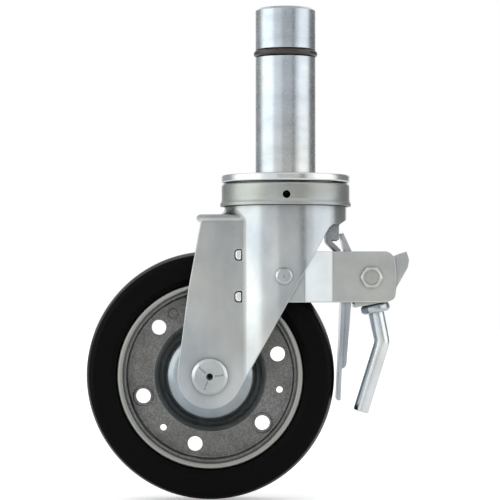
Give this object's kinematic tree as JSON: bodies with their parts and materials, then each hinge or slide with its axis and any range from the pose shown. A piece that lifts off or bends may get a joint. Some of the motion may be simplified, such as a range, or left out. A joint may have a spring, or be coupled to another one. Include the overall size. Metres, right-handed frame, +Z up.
{
  "type": "scaffold castor",
  "caption": "Swivelling scaffold castor: plated stem, pressed fork, solid tyre on pressed discs, and a lever brake that also locks the swivel.",
  "frame": {"origin": "stem axis at the top face of the flange, where the scaffold tube's end sits", "axes": "+Z up the stem, +X towards the brake lever, +Y across the wheel to the side with the axle nut"},
  "size_m": [0.1942, 0.0822, 0.2975],
  "materials": {
    "zinc": "bright zinc plate",
    "satin_zinc": "satin zinc plate",
    "disc_zinc": "dull zinc plate on a pressing",
    "fastener_zinc": "bright zinc plate, turned and headed",
    "bearing_steel": "ground and hardened",
    "spring_steel": "drawn wire",
    "tyre": "smooth black rubber, slight sheen",
    "grip_rubber": "dark brown rubber"
  },
  "bodies": {
    "stem_group": {"stem": "zinc", "grip_ring": "grip_rubber", "top_flange": "zinc", "upper_race": "bearing_steel", "lower_race": "bearing_steel", "lock_ring": "zinc", "king_nut": "zinc"},
    "fork_group": {"fork": "zinc", "cover_ring": "satin_zinc", "fork_race": "bearing_steel", "upper_balls": "bearing_steel", "lower_balls": "bearing_steel", "bracket_cheek_near": "zinc", "bracket_cheek_far": "zinc", "bracket_rivets": "fastener_zinc", "axle": "fastener_zinc", "axle_washer": "fastener_zinc", "axle_nut": "fastener_zinc", "axle_spacers": "zinc", "hub_sleeve": "zinc", "bearing_inner_rings": "bearing_steel", "bearing_balls": "bearing_steel", "pivot_bolt": "fastener_zinc", "pivot_washer": "fastener_zinc", "pivot_nut": "fastener_zinc", "shoe_pin": "zinc", "return_spring": "spring_steel"},
    "wheel_group": {"tyre": "tyre", "rim_disc_near": "disc_zinc", "rim_disc_far": "disc_zinc", "hub": "zinc", "bearing_outer_rings": "bearing_steel"},
    "lever_group": {"pedal_channel": "zinc", "brake_cam": "zinc", "lever_rod": "zinc", "lever_nut": "zinc"},
    "shoe_group": {"brake_shoe": "zinc"},
    "pawl_group": {"swivel_pawl": "zinc"}
  },
  "joints": [
    {"name": "swivel", "type": "hinge", "parent": "stem_group", "child": "fork_group", "pos_m": [0, 0, 0], "axis": [0, 0, 1], "continuous": true},
    {"name": "wheel_spin", "type": "hinge", "parent": "fork_group", "child": "wheel_group", "pos_m": [-0.0455, 0, -0.121], "axis": [0, 1, 0], "continuous": true},
    {"name": "brake_lever", "type": "hinge", "parent": "fork_group", "child": "lever_group", "pos_m": [0.0508, 0, -0.0621], "axis": [0, -1, 0], "range_deg": [0, 60]},
    {"name": "brake_shoe", "type": "hinge", "parent": "fork_group", "child": "shoe_group", "pos_m": [0.0345, 0, -0.0505], "axis": [0, 1, 0], "range_deg": [0, 1.2]},
    {"name": "swivel_lock", "type": "hinge", "parent": "fork_group", "child": "pawl_group", "pos_m": [0.0345, 0, -0.0505], "axis": [0, -1, 0], "range_deg": [0, 8.1]}
  ],
  "couplings": [
    {"joint": "brake_shoe", "follows": "brake_lever", "ratio": 0.019},
    {"joint": "swivel_lock", "follows": "brake_lever", "ratio": 0.1333}
  ]
}
